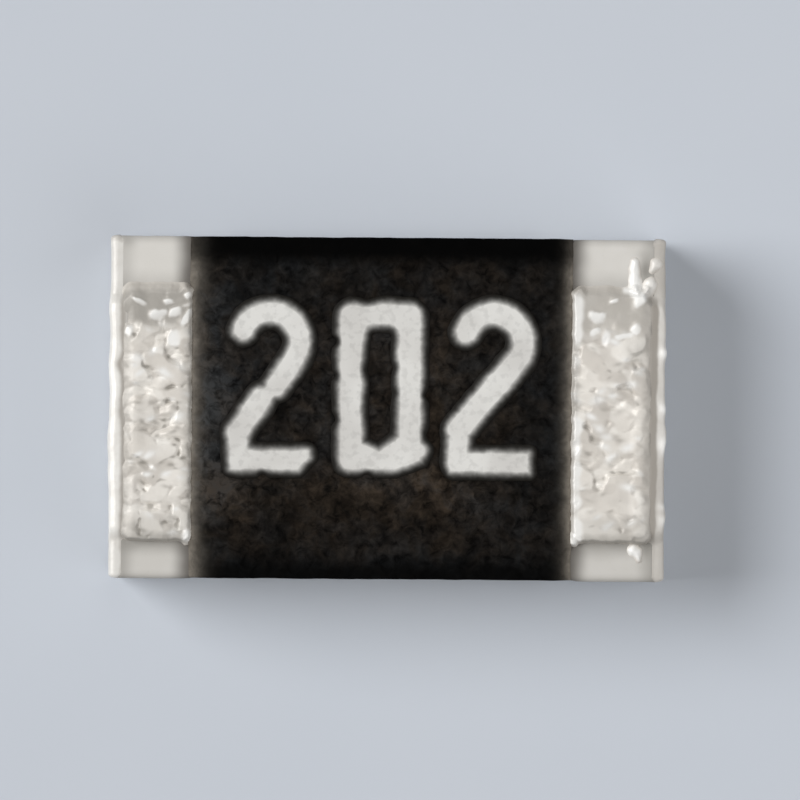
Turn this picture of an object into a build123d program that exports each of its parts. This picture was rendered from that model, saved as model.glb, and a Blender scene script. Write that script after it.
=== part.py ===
"""Thick-film chip resistor in the 2.0 x 1.25 mm case, built up film by film on its ceramic tile.

Frame: X runs from terminal to terminal, Y across the chip, +Z up from the soldering plane.
The origin is at the middle of the footprint, on the lowest plane of the terminals.
All lengths are in millimetres.
"""

from build123d import *

import os

# ---------------------------------------------------------------- driving dimensions

# Ceramic tile, snapped out of a scored sheet
tile_length = 1.948
tile_width = 1.230
tile_thickness = 0.410
end_score = 0.023  # half of the V groove the tile was snapped along at its ends
side_score = 0.009  # the same along its two long edges

# Printed conductors, fired onto both faces of the tile
conductor_thickness = 0.012
conductor_setback = 0.054  # bare ceramic between a conductor and the end of the tile
conductor_corner_radius = 0.030
top_conductor_width = 0.850
back_conductor_length = 0.320
back_conductor_width = 1.020
print_offset_y = -0.035  # how far the prints on the upper face lie off the chip's middle

# Resistive film and the glass over it
film_lap = 0.085  # how far the film runs onto each top conductor
film_width = 0.740
film_thickness = 0.010
glass_margin = 0.018  # how far the glass reaches past the film all round
glass_thickness = 0.008

# Laser trim, an L-shaped kerf through glass and film
kerf_width = 0.036
kerf_plunge = 0.330  # from the film's near edge towards the middle
kerf_run = 0.300  # along the chip
kerf_start_x = -0.210

# Overcoat
overcoat_length = 1.357
overcoat_offset_x = -0.022  # how far the print lies off the middle of the chip
overcoat_cover = 0.022  # over the highest glass
overcoat_slope = 0.060  # length of the slope at each terminal
overcoat_lip = 0.003  # blunt front edge of that slope, over the conductor
overcoat_shoulder_radius = 0.050
overcoat_side_chamfer = 0.010  # along the long edges of the tile

# Films that make a terminal, from the ceramic outwards
edge_film_thickness = 0.006
edge_film_side_margin = 0.020  # bare ceramic at each long edge of the end
edge_film_corner_radius = 0.004
edge_film_tab_width = 0.770  # of the tab that climbs the score and joins the top conductor
edge_film_tab_overlap = 0.020  # onto the top conductor
edge_film_back_margin = 0.026  # past the inner end of the back conductor
nickel_thickness = 0.008
tin_thickness = 0.012

# ---------------------------------------------------------------- worked-out places

SIDES = {"left": -1, "right": 1}
plating_thickness = nickel_thickness + tin_thickness
tile_bottom = conductor_thickness + edge_film_thickness + plating_thickness
tile_top = tile_bottom + tile_thickness
tile_end = tile_length / 2
conductor_end = tile_end - conductor_setback
film_height = conductor_thickness + film_thickness
glass_height = film_height + glass_thickness
overcoat_height = glass_height + overcoat_cover
overcoat_top = tile_top + overcoat_height
# The glass ends under the flat of the overcoat, on the side where the overcoat is the shorter.
glass_end = overcoat_length / 2 - abs(overcoat_offset_x) - overcoat_slope
film_end = glass_end - glass_margin
conductor_inner_end = film_end - film_lap
top_conductor_length = conductor_end - conductor_inner_end
glass_width = film_width + 2 * glass_margin
score_foot = tile_top - end_score
edge_film_width = tile_width - 2 * edge_film_side_margin
edge_film_top_end = conductor_end - edge_film_tab_overlap
edge_film_back_end = conductor_end - back_conductor_length - edge_film_back_margin


def overcoat_front(side):
    """X of the overcoat's front edge at one terminal."""
    return overcoat_offset_x + side * overcoat_length / 2


# ---------------------------------------------------------------- ceramic and conductors


def make_tile():
    """A slab whose upper edges keep half of each V-shaped score."""
    with BuildPart() as tile:
        with BuildSketch(Plane.XY.offset(tile_bottom)):
            Rectangle(tile_length, tile_width)
        extrude(amount=tile_thickness)
        chamfer(tile.faces().sort_by(Axis.Z)[-1].edges().filter_by(Axis.Y), length=end_score)
        chamfer(tile.faces().sort_by(Axis.Z)[-1].edges().filter_by(Axis.X), length=side_score)
    return tile


def print_pad(side, length, width, centre_y, base, rise, skin=0.0, inner_x=0.0):
    """A printed pad, or what skin of further film makes of it.

    The pad is a rounded rectangle that starts conductor_setback in from the end of the tile. It
    grows by skin all round, keeps only what lies outwards of inner_x, and rises from base.
    """
    centre_x = side * (conductor_end - length / 2)
    with BuildPart() as pad:
        with BuildSketch(Plane.XY.offset(base)):
            with Locations((centre_x, centre_y)):
                RectangleRounded(length + 2 * skin, width + 2 * skin, conductor_corner_radius + skin)
            with Locations((side * (inner_x + tile_length / 2), centre_y)):
                Rectangle(tile_length, 2 * tile_width, mode=Mode.INTERSECT)
        extrude(amount=rise)
    return pad


def make_top_conductor(side):
    return print_pad(
        side, top_conductor_length, top_conductor_width, print_offset_y, tile_top, conductor_thickness
    )


def make_back_conductor(side):
    return print_pad(side, back_conductor_length, back_conductor_width, 0, tile_bottom, -conductor_thickness)


# ---------------------------------------------------------------- resistive film and glass


def stepped_film(end_x, width, skin):
    """A film that lies on the tile between the conductors and climbs onto both of them.

    Its long section is a table whose two ends stand one conductor higher, each reached by a
    ramp. end_x is where it stops, and skin how far its upper side stands off what is below it.
    """
    step_x = conductor_inner_end - skin
    ramp_x = step_x - conductor_thickness
    low = tile_top + skin
    high = low + conductor_thickness
    with BuildPart() as film:
        with BuildSketch(Plane.XZ.offset(-print_offset_y)):
            with BuildLine():
                Polyline(
                    (-end_x, tile_top),
                    (-end_x, high),
                    (-step_x, high),
                    (-ramp_x, low),
                    (ramp_x, low),
                    (step_x, high),
                    (end_x, high),
                    (end_x, tile_top),
                    close=True,
                )
            make_face()
        extrude(amount=width / 2, both=True)
    return film


def make_kerf():
    """The laser's path, as a solid to cut with: in from the near edge of the film, then along it."""
    near_y = print_offset_y - glass_width / 2
    far_y = print_offset_y - film_width / 2 + kerf_plunge
    with BuildPart() as kerf:
        with BuildSketch(Plane.XY.offset(tile_top)):
            with BuildLine() as path:
                Polyline((kerf_start_x, near_y), (kerf_start_x, far_y), (kerf_start_x + kerf_run, far_y))
            trace(path.line, line_width=kerf_width)
        extrude(amount=overcoat_height)
    return kerf


def cut_from(shape, pieces):
    """The shape without what the pieces take up."""
    with BuildPart() as rest:
        add(shape.part)
        for piece in pieces:
            add(piece.part, mode=Mode.SUBTRACT)
    return rest


# ---------------------------------------------------------------- overcoat


def overcoat_bank():
    """The overcoat's outer form: a flat-topped bank with a slope at each terminal.

    The print crosses the scores at the long edges and is snapped off with the tile, so the bank
    is as wide as the tile and reaches down into both scores.
    """
    left_x, right_x = overcoat_front(-1), overcoat_front(1)
    lip_z = tile_top + conductor_thickness + overcoat_lip
    with BuildPart() as bank:
        with BuildSketch(Plane.XZ) as section:
            with BuildLine():
                Polyline(
                    (left_x, tile_top - side_score),
                    (left_x, lip_z),
                    (left_x + overcoat_slope, overcoat_top),
                    (right_x - overcoat_slope, overcoat_top),
                    (right_x, lip_z),
                    (right_x, tile_top - side_score),
                    close=True,
                )
            make_face()
            fillet(section.vertices().group_by(Axis.Y)[-1], overcoat_shoulder_radius)
        extrude(amount=tile_width / 2, both=True)
        brows = bank.faces().filter_by(Axis.Y).edges().filter_by(lambda edge: edge.center().Z > lip_z)
        chamfer(brows, length=overcoat_side_chamfer)
    return bank


# ---------------------------------------------------------------- terminals


def end_profile(side):
    """Long section of the tile, from its middle to one end, drawn on the XZ plane."""
    with BuildSketch() as profile:
        with BuildLine():
            Polyline(
                (0, tile_bottom),
                (side * tile_end, tile_bottom),
                (side * tile_end, score_foot),
                (side * (tile_end - end_score), tile_top),
                (0, tile_top),
                close=True,
            )
        make_face()
    return profile.sketch


def wrap(side, skin, width, centre_y, inner_x, low_z, high_z):
    """Edge film, with skin more on it, round the end of the tile and of its top conductor.

    Films grow round a corner as an arc. Only what lies outwards of inner_x and between the two
    heights is kept.
    """
    growth = edge_film_thickness + skin
    conductor_x = side * (conductor_end - top_conductor_length / 2)
    with BuildPart() as film:
        with BuildSketch(Plane.XZ.offset(-centre_y)):
            add(end_profile(side))
            offset(amount=growth, kind=Kind.ARC)
            with Locations((conductor_x, tile_top)):
                Rectangle(top_conductor_length + 2 * growth, 2 * (conductor_thickness + growth))
            add(end_profile(side), mode=Mode.SUBTRACT)
            with Locations((side * (inner_x + tile_length / 2), (low_z + high_z) / 2)):
                Rectangle(tile_length, high_z - low_z, mode=Mode.INTERSECT)
        extrude(amount=width / 2, both=True)
        with BuildSketch():
            with Locations((0, centre_y)):
                RectangleRounded(2 * (tile_end + growth), width, edge_film_corner_radius + skin)
        extrude(amount=overcoat_top, mode=Mode.INTERSECT)
    return film


def terminal_envelope(side, skin):
    """All that lies inside the outer skin of one terminal, with that much plating on its metal.

    The edge film covers the end of the tile up to the foot of the score, and the underside as
    far as it laps. A tab of it, narrower than the top conductor, climbs the score and joins that
    conductor. The bare top conductor, as far as the overcoat, and the back conductor, which the
    edge film covers all over, stand on it as pads.
    """
    growth = edge_film_thickness + skin
    back_end, top_end = edge_film_back_end - skin, edge_film_top_end - skin
    bare_end = abs(overcoat_front(side)) - skin
    end_width, tab_width = edge_film_width + 2 * skin, edge_film_tab_width + 2 * skin
    top_pad = (side, top_conductor_length, top_conductor_width, print_offset_y, tile_top)
    back_pad = (side, back_conductor_length, back_conductor_width, 0, tile_bottom)
    with BuildPart() as envelope:
        add(wrap(side, skin, end_width, 0, back_end, 0, score_foot + skin).part)
        add(wrap(side, skin, tab_width, print_offset_y, top_end, tile_bottom, overcoat_top).part)
        add(print_pad(*top_pad, conductor_thickness + skin, skin, bare_end).part)
        add(print_pad(*back_pad, -conductor_thickness - growth, growth, back_end).part)
    return envelope


# ---------------------------------------------------------------- the chip


def main():
    tile = make_tile()
    top_conductors = {name: make_top_conductor(side) for name, side in SIDES.items()}
    back_conductors = {name: make_back_conductor(side) for name, side in SIDES.items()}
    kerf = make_kerf()
    on_tile = [tile, *top_conductors.values(), *back_conductors.values()]

    film = cut_from(stepped_film(film_end, film_width, film_thickness), [*on_tile, kerf])
    glass_layer = stepped_film(glass_end, glass_width, film_thickness + glass_thickness)
    glass = cut_from(glass_layer, [*on_tile, film, kerf])
    overcoat = cut_from(overcoat_bank(), [*on_tile, film, glass])

    pieces = {
        "ceramic_tile": tile,
        "resistive_film": film,
        "trim_glass": glass,
        "overcoat": overcoat,
    }
    for name, side in SIDES.items():
        bare = terminal_envelope(side, 0.0)
        barrier = terminal_envelope(side, nickel_thickness)
        finish = terminal_envelope(side, plating_thickness)
        pieces[f"{name}_top_conductor"] = top_conductors[name]
        pieces[f"{name}_back_conductor"] = back_conductors[name]
        pieces[f"{name}_edge_film"] = cut_from(bare, [*on_tile, overcoat])
        pieces[f"{name}_nickel_barrier"] = cut_from(barrier, [*on_tile, overcoat, bare])
        pieces[f"{name}_tin_plating"] = cut_from(finish, [*on_tile, overcoat, barrier])

    os.makedirs("parts", exist_ok=True)
    for name, piece in pieces.items():
        piece.part.label = name
        export_step(piece.part, f"parts/{name}.step")


main()
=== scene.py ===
"""Looks of a thick-film chip resistor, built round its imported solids.

Four solids give way to finer skins: the ceramic tile, the black overcoat and the tin on both
terminals. Three printed digits lie on the overcoat. Outer sizes and most heights come from the
solids' own boxes; marks on them are placed from the middle of the chip. Tables and the digits'
shapes are in millimetres; other lengths are in metres, once UM or MM has scaled them.
"""

import math
from types import SimpleNamespace

import bmesh
import bpy
import numpy as np
from bpy.props import FloatProperty, FloatVectorProperty, IntProperty, PointerProperty
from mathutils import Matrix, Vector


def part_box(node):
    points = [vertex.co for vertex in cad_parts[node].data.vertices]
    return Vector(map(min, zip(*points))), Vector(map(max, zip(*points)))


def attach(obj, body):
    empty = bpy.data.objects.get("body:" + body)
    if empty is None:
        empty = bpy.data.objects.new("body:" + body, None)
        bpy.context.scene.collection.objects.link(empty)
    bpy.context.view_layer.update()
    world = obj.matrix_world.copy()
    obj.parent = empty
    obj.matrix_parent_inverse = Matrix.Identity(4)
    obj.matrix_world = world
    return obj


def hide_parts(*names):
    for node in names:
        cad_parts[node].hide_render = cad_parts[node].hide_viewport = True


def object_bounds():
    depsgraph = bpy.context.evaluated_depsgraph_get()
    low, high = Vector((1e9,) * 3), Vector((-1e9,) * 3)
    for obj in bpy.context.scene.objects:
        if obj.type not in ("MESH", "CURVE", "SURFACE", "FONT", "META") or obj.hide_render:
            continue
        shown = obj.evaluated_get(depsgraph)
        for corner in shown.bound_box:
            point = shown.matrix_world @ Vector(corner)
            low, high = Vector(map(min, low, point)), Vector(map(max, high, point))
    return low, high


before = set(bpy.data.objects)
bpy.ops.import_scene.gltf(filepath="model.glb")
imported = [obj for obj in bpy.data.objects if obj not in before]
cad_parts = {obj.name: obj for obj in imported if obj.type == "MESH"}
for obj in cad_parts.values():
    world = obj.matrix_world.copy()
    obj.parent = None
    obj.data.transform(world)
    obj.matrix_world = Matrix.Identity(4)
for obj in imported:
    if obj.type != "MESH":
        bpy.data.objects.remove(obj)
solid_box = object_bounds()

bl_info = {
    "name": "Chip Resistor Looks",
    "version": (1, 0, 0),
    "blender": (4, 5, 0),
    "location": "3D View > Sidebar > Chip Resistor",
    "description": "Skins, printed digits, finishes and stage for a chip resistor",
    "category": "Object",
}

UM = 1e-6
MM = 1e-3
PLATING = 20 * UM  # nickel and tin together, over the conductors


# ---------------------------------------------------------------- fields worked out on a grid

LATTICE = 256  # values along each side of a noise table, which then repeats
SCATTER = 128  # the same for the tables of scattered plates and spots


def s_curve(t):
    """Rises from 0 to 1 as t does, level at both ends: 3t squared less 2t cubed."""
    t = np.clip(t, 0.0, 1.0)
    return t * t * (3.0 - 2.0 * t)


def span(value, start, end):
    """The s-curve of where value lies between start and end, which may run downwards."""
    return s_curve((value - start) / (end - start))


def within(y, low, high, outer, inner):
    """1 between low and high; beyond them it falls to 0 along s-curves from inner to outer."""
    return span(y, low - outer, low - inner) * span(y, high + outer, high + inner)


def lattice_noise(x, y, cell, seed):
    """Soft random field from -1 to 1: an s-curve blend of random values on a square lattice."""
    table = np.random.default_rng(seed).uniform(-1.0, 1.0, (LATTICE, LATTICE))
    column, row = np.floor(x / cell).astype(int), np.floor(y / cell).astype(int)
    across, up = s_curve(x / cell - column), s_curve(y / cell - row)
    near, far = (
        table[column % LATTICE, line] * (1 - across) + table[(column + 1) % LATTICE, line] * across
        for line in (row % LATTICE, (row + 1) % LATTICE)
    )
    return near * (1 - up) + far * up


def cloud_noise(x, y, cell, seed, octaves=3):
    """Mean of lattice fields, each with half the cell and half the weight of the one before."""
    total, weight = 0.0, 0.0
    for octave in range(octaves):
        share = 0.5**octave
        total = total + share * lattice_noise(x, y, cell * share, seed + octave)
        weight += share
    return total / weight


def ridge_noise(x, y, cell, seed):
    """Folds: three octaves of one half less the size of warped noise, stretched along X."""
    bent_x = x + 0.5 * cell * cloud_noise(x, y, 2 * cell, seed + 5, 2)
    bent_y = y + 0.5 * cell * cloud_noise(x, y, 2 * cell, seed + 6, 2)
    total = 0.0
    for octave in range(3):
        fold = 0.5 - np.abs(cloud_noise(0.55 * bent_x, bent_y, cell * 0.55**octave, seed + octave, 1))
        total = total + fold * 0.5**octave
    return total


def turned(dx, dy, angle):
    """Offsets along and across a direction at that angle from the X axis."""
    return dx * np.cos(angle) + dy * np.sin(angle), dy * np.cos(angle) - dx * np.sin(angle)


def scattered(x, y, cell, reach, numbers, seed):
    """For each lattice cell up to reach away: offsets from its random spot, and its numbers."""
    table = np.random.default_rng(seed).uniform(0.0, 1.0, (numbers, SCATTER, SCATTER))
    column, row = np.floor(x / cell).astype(int), np.floor(y / cell).astype(int)
    for step_x in range(-reach, reach + 1):
        for step_y in range(-reach, reach + 1):
            i, j = column + step_x, row + step_y
            spot_x, spot_y, *own = table[:, i % SCATTER, j % SCATTER]
            yield x - (i + spot_x) * cell, y - (j + spot_y) * cell, own


def plate_field(x, y, cell, half_length, half_width, tilt, density, seed):
    """Overlapping tilted plates, like crumpled foil: the highest one's height and own number.

    Each lattice cell throws an ellipse at a random spot, tilted at random and turned up to a
    radian either way from the X axis. Its height is its own plane, less a dome that grows with
    the square of the reach, less a skirt outside it. One whose number is over density is left
    out.
    """
    height, tone = np.full(x.shape, -cell), np.zeros(x.shape)
    for dx, dy, (turn, slope_1, slope_2, rise, keep, own) in scattered(x, y, cell, 2, 8, seed):
        along, across = turned(dx, dy, turn * 2 - 1)
        reach = np.hypot(along / half_length, across / half_width)
        plate = (
            (rise - 0.5) * 0.15 * cell
            + tilt * ((slope_1 * 2 - 1) * along + (slope_2 * 2 - 1) * 1.5 * across)
            - 0.10 * half_width * reach**2
            - 0.50 * half_width * np.clip(reach - 1.0, 0.0, None)
        )
        plate = np.where(keep < density, plate, -cell)
        higher = plate > height
        height, tone = np.where(higher, plate, height), np.where(higher, own, tone)
    return height, tone


def spot_field(x, y, cell, half_length, half_width, density, seed):
    """Soft spots from 0 to 1, one at most in each lattice cell.

    Each is an elliptical bell of random size and strength, within 40 degrees of the X axis.
    """
    cover = np.zeros(x.shape)
    for dx, dy, (turn, size, keep, own) in scattered(x, y, cell, 1, 6, seed):
        along, across = turned(dx, dy, 0.7 * (turn * 2 - 1))
        bell = (along / half_length) ** 2 + (across / half_width) ** 2
        bell = np.exp(-1.2 * bell / (0.6 + 0.8 * size) ** 2)
        cover = np.maximum(cover, np.where(keep < density, bell * (0.5 + 0.5 * own), 0.0))
    return cover


def peak(value, middle, reach):
    """A bell: 1 at the middle, and e to the minus 1 at one reach from it."""
    return np.exp(-(((value - middle) / reach) ** 2))


def bell_row(y, rows):
    """Sum of bells along a line, each (place, reach, height), in millimetres."""
    return sum((amount * peak(y / MM, spot, reach) for spot, reach, amount in rows), 0 * y)


def bells(x, y, patches):
    """Sum of bells (x, y, reach, height), or with one reach in x and one in y, in millimetres."""
    total = 0.0
    for spot_x, spot_y, *reach, amount in patches:
        total = total + amount * peak(x / MM, spot_x, reach[0]) * peak(y / MM, spot_y, reach[-1])
    return total


def smooth_field(field, passes):
    """The field with each point replaced, passes times, by a 1-2-1 mean in both directions."""
    for _ in range(passes):
        padded = np.pad(field, 1, mode="edge")
        rows = 0.25 * padded[:-2] + 0.5 * padded[1:-1] + 0.25 * padded[2:]
        field = 0.25 * rows[:, :-2] + 0.5 * rows[:, 1:-1] + 0.25 * rows[:, 2:]
    return field


# ---------------------------------------------------------------- distances to flat shapes


def nearest(x, y, start, end):
    """Share of the way along a straight line at which each point is nearest it, and how near."""
    run_x, run_y = end[0] - start[0], end[1] - start[1]
    share = ((x - start[0]) * run_x + (y - start[1]) * run_y) / (run_x**2 + run_y**2)
    share = np.clip(share, 0.0, 1.0)
    return share, np.hypot(x - start[0] - share * run_x, y - start[1] - share * run_y)


def from_arc(x, y, centre, radius, first, last):
    """Distance from a circular arc that runs anticlockwise between two angles in degrees."""
    x, y = x - centre[0], y - centre[1]
    on_arc = (np.degrees(np.arctan2(y, x)) - first) % 360.0 <= last - first
    tips = [
        np.hypot(x - radius * math.cos(tip), y - radius * math.sin(tip))
        for tip in (math.radians(first), math.radians(last))
    ]
    return np.where(on_arc, np.abs(np.hypot(x, y) - radius), np.minimum(*tips))


def in_rounded_box(x, y, low, high, radius):
    """How deep each point lies in a rectangle with round corners; negative outside it."""
    half_x, half_y = (high[0] - low[0]) / 2, (high[1] - low[1]) / 2
    out_x = np.abs(x - (low[0] + high[0]) / 2) - half_x + radius
    out_y = np.abs(y - (low[1] + high[1]) / 2) - half_y + radius
    outside = np.hypot(np.clip(out_x, 0.0, None), np.clip(out_y, 0.0, None))
    return radius - outside - np.minimum(np.maximum(out_x, out_y), 0.0)


def behind(x, y, point, heading):
    """How deep each point lies behind a line through point that faces heading, in degrees."""
    turn = math.radians(heading)
    return -((x - point[0]) * math.cos(turn) + (y - point[1]) * math.sin(turn))


def soft_union(first, second, blend):
    """The greater of two depths, with a fillet of about the size of blend where they are equal."""
    closeness = np.clip(blend - np.abs(first - second), 0.0, None) / blend
    return np.maximum(first, second) + closeness**2 * blend / 4


def in_tapered(x, y, path):
    """Depth inside a stroke through (x, y, radius), in millimetres, with an even taper."""
    depth = np.full(x.shape, -1.0)
    for (*start, r0), (*end, r1) in zip(path, path[1:]):
        share, gap = nearest(x / MM, y / MM, start, end)
        depth = soft_union(depth, (r0 + share * (r1 - r0) - gap) * MM, 5 * UM)
    return depth


# ---------------------------------------------------------------- meshes


def grid_faces(rows, columns, closed=False):
    """Quads over points numbered row by row; closed joins the last column to the first."""
    row, column = np.meshgrid(
        np.arange(rows - 1), np.arange(columns if closed else columns - 1), indexing="ij"
    )
    here = row * columns + column
    beside = row * columns + (column + 1) % columns
    return np.stack([here, beside, beside + columns, here + columns], axis=-1).reshape(-1, 4)


def rim_edges(quads):
    """Edges that only one of the quads uses, each in the direction in which that quad runs."""
    edges = np.concatenate([quads[:, [k, (k + 1) % 4]] for k in range(4)])
    order = np.sort(edges, axis=1)
    key = order[:, 0] * (quads.max() + 1) + order[:, 1]
    _, first, count = np.unique(key, return_index=True, return_counts=True)
    return edges[first[count == 1]]


def dress(node, material):
    """Gives a CAD node one material."""
    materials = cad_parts[node].data.materials
    materials.clear()
    materials.append(material)


def add_piece(name, skin, material, replaced=None):
    """Makes a smooth-shaded piece that rides on the chip, and dresses the node it replaces.

    A skin is its points, its faces and its attributes, each with one number a point.
    """
    points, faces, attributes = skin
    mesh = bpy.data.meshes.new(name)
    mesh.from_pydata(points.tolist(), [], faces)
    mesh.polygons.foreach_set("use_smooth", np.ones(len(mesh.polygons), bool))
    for key, values in attributes.items():
        layer = mesh.attributes.new(key, "FLOAT", "POINT")
        layer.data.foreach_set("value", values.astype(np.float32).ravel())
    mesh.materials.append(material)
    mesh.update()
    piece = bpy.data.objects.new(name, mesh)
    bpy.context.scene.collection.objects.link(piece)
    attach(piece, "root")
    if replaced:
        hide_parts(replaced)
        dress(replaced, material)
    return piece


def weld(piece):
    """Merges points that coincide, where a surface closes on a seam or a pole."""
    shape = bmesh.new()
    shape.from_mesh(piece.data)
    bmesh.ops.remove_doubles(shape, verts=shape.verts, dist=0.05 * UM)
    shape.to_mesh(piece.data)
    shape.free()


def masked_slab(x, y, depth, surface, floor):
    """A closed slab over the part of a level grid where depth is positive.

    Cells whose mean depth is positive stay. Points on their common outline slide along the
    slope of depth to where it is nought, which makes the outline smooth. surface(x, y, depth,
    used) gives the height of the top and its attributes. The underside is the same cells at the
    level of floor, turned over, and a wall joins the two.
    """
    step_x, step_y = x[0, 1] - x[0, 0], y[1, 0] - y[0, 0]
    slope_y, slope_x = (slope.ravel() for slope in np.gradient(depth, step_y, step_x))
    quads = grid_faces(*x.shape)
    x, y, depth = x.flatten(), y.flatten(), depth.flatten()
    quads = quads[depth[quads].mean(axis=1) > 0]
    rim = np.unique(rim_edges(quads))
    steepness = np.clip(slope_x[rim] ** 2 + slope_y[rim] ** 2, 0.25, None)
    shift = np.clip(-depth[rim] / steepness, -1.2 * step_x, 1.2 * step_x)
    x[rim] += shift * slope_x[rim]
    y[rim] += shift * slope_y[rim]
    depth[rim] = 0.0

    used, numbers = np.unique(quads, return_inverse=True)
    quads, count = numbers.reshape(-1, 4), len(used)
    x, y = x[used], y[used]
    height, attributes = surface(x, y, np.clip(depth[used], 0.0, None), used)
    points = np.concatenate([np.stack([x, y, level], axis=-1) for level in (height, 0 * x + floor)])
    start, end = rim_edges(quads).T
    wall = np.stack([start, start + count, end + count, end], axis=-1)
    faces = np.concatenate([quads, quads[:, ::-1] + count, wall]).tolist()
    return points, faces, {key: np.tile(values, 2) for key, values in attributes.items()}


# ---------------------------------------------------------------- finishes


def paint(red, green, blue):
    """Screen values from 0 to 255 as the linear colour that a shader takes."""
    values = np.array([red, green, blue]) / 255.0
    return tuple(np.where(values < 0.04045, values / 12.92, ((values + 0.055) / 1.055) ** 2.4))


class Finish:
    """A procedural material: one shader, and short names for the nodes that feed it."""

    def __init__(self, name, roughness, specular=0.5, metallic=0.0):
        self.material = bpy.data.materials.new(name)
        self.material.use_nodes = True
        self.tree = self.material.node_tree
        self.shader = self.tree.nodes["Principled BSDF"]
        self.drive("Roughness", roughness)
        self.drive("Metallic", metallic)
        self.drive("Specular IOR Level", specular)
        self.place = self.node("TexCoord", "Object")
        self.last_bump = None

    def feed(self, socket, value):
        """Links value to a socket if it is an output, and otherwise sets it as a constant."""
        if isinstance(value, bpy.types.NodeSocket):
            self.tree.links.new(value, socket)
        else:
            socket.default_value = (*value, 1.0) if socket.type == "RGBA" else value

    def drive(self, label, value):
        self.feed(self.shader.inputs[label], value)

    def node(self, kind, output, inputs=None, **settings):
        """One output of a new node with these settings and inputs."""
        node = self.tree.nodes.new("ShaderNode" + kind)
        for key, value in settings.items():
            setattr(node, key, value)
        for key, value in (inputs or {}).items():
            self.feed(node.inputs[key], value)
        return node.outputs[output]

    def attribute(self, name):
        return self.node("Attribute", "Fac", attribute_name=name)

    def noise(self, size, detail=3.0, rough=0.55, swirl=0.0, offset=None):
        """Noise whose largest features are about as wide as size, moved by offset."""
        place = self.place
        if offset:
            place = self.node("Mapping", "Vector", {"Vector": place, "Location": offset})
        inputs = {
            "Vector": place, "Scale": 1.0 / size, "Detail": detail, "Roughness": rough, "Distortion": swirl
        }
        return self.node("TexNoise", "Fac", inputs)

    def ramp(self, value, low, high, to_low=0.0, to_high=1.0, kind="SMOOTHSTEP"):
        """Maps value from low..high to to_low..to_high, along an s-curve or a straight line."""
        labels = ("Value", "From Min", "From Max", "To Min", "To Max")
        inputs = dict(zip(labels, (value, low, high, to_low, to_high)))
        return self.node("MapRange", "Result", inputs, interpolation_type=kind)

    def maths(self, operation, first, second):
        return self.node("Math", "Value", {0: first, 1: second}, operation=operation)

    def times(self, first, second):
        return self.maths("MULTIPLY", first, second)

    def blend(self, share, first, second):
        """Colour that goes from first to second as share goes from 0 to 1."""
        inputs = {"Factor": share, 6: first, 7: second}
        return self.node("Mix", 2, inputs, data_type="RGBA", clamp_factor=True)

    def relief(self, height, depth):
        """Adds a bump of that depth on top of any that the finish already has."""
        inputs = {"Strength": 1.0, "Distance": depth, "Height": height}
        if self.last_bump:
            inputs["Normal"] = self.last_bump
        self.last_bump = self.node("Bump", "Normal", inputs)
        self.drive("Normal", self.last_bump)


def alumina_finish(looks):
    """Fired ceramic: fine grain, faint clouds, painted shade by the metal and along its edges, and darker
    beside the resin as painted shade.
    """
    finish = Finish("fired alumina", 0.5, 0.35)
    cloud = finish.ramp(finish.noise(150 * UM, 2.0), 0.3, 0.7)
    body = finish.blend(cloud, looks.alumina_colour, looks.alumina_cloud)
    speck = finish.ramp(finish.noise(9 * UM, 2.0), 0.62, 0.78)
    body = finish.blend(finish.times(speck, 0.10), body, paint(168, 160, 150))
    # grey: painted shade beside the metal, along the edges, in recesses and on the lower half
    body = finish.blend(finish.attribute("grey"), body, looks.alumina_shade)
    # painted shade beside the resin front
    finish.drive("Base Color", finish.blend(finish.attribute("resin_shade"), body, looks.alumina_resin_shade))
    broken = finish.attribute("broken")
    finish.drive("Roughness", finish.ramp(broken, 0.0, 1.0, 0.45, 0.8))
    finish.relief(finish.noise(14 * UM, 4.0, 0.6), 0.3 * UM)
    finish.relief(finish.times(broken, finish.noise(22 * UM, 5.0, 0.7, 0.6)), 6 * UM)
    return finish.material


def overcoat_finish(looks):
    """Black resin: paler in patches, warm or cool, with a toe where the ceramic shows through."""
    finish = Finish("black overcoat", 0.6, 0.025)
    swirl = finish.noise(80 * UM, 4.0, 0.55, 0.4)
    grain = finish.noise(34 * UM, 3.0, 0.62, 0.5)
    other = finish.noise(110 * UM, 3.0, 0.6, 0.5, (3.1, 1.7, 0))
    warm = finish.maths("ADD", finish.attribute("warm"), finish.ramp(other, 0.3, 0.7, -0.35, 0.35))
    pale_resin = finish.blend(warm, looks.resin_cool, looks.resin_warm)
    paleness = finish.times(finish.attribute("paleness"), finish.ramp(swirl, 0.32, 0.68, 0.45, 1.55, "LINEAR"))
    paleness = finish.times(paleness, finish.ramp(grain, 0.30, 0.70, 0.20, 1.80, "LINEAR"))
    body = finish.blend(paleness, looks.resin_black, pale_resin)
    mottle = finish.ramp(finish.noise(30 * UM, 3.0, 0.6, 0.5), 0.3, 0.7, 0.80, 1.20)
    # the toe: thin resin over the ceramic, with painted light on the right toe
    thin_toe_and_painted_light = finish.times(finish.attribute("thin_toe_and_painted_light"), mottle)
    finish.drive("Base Color", finish.blend(thin_toe_and_painted_light, body, looks.resin_toe))
    finish.drive("Roughness", finish.ramp(grain, 0.3, 0.7, 0.66, 0.5))
    finish.relief(finish.noise(16 * UM, 4.0, 0.6, 1.0), 0.8 * UM)
    return finish.material


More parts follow.
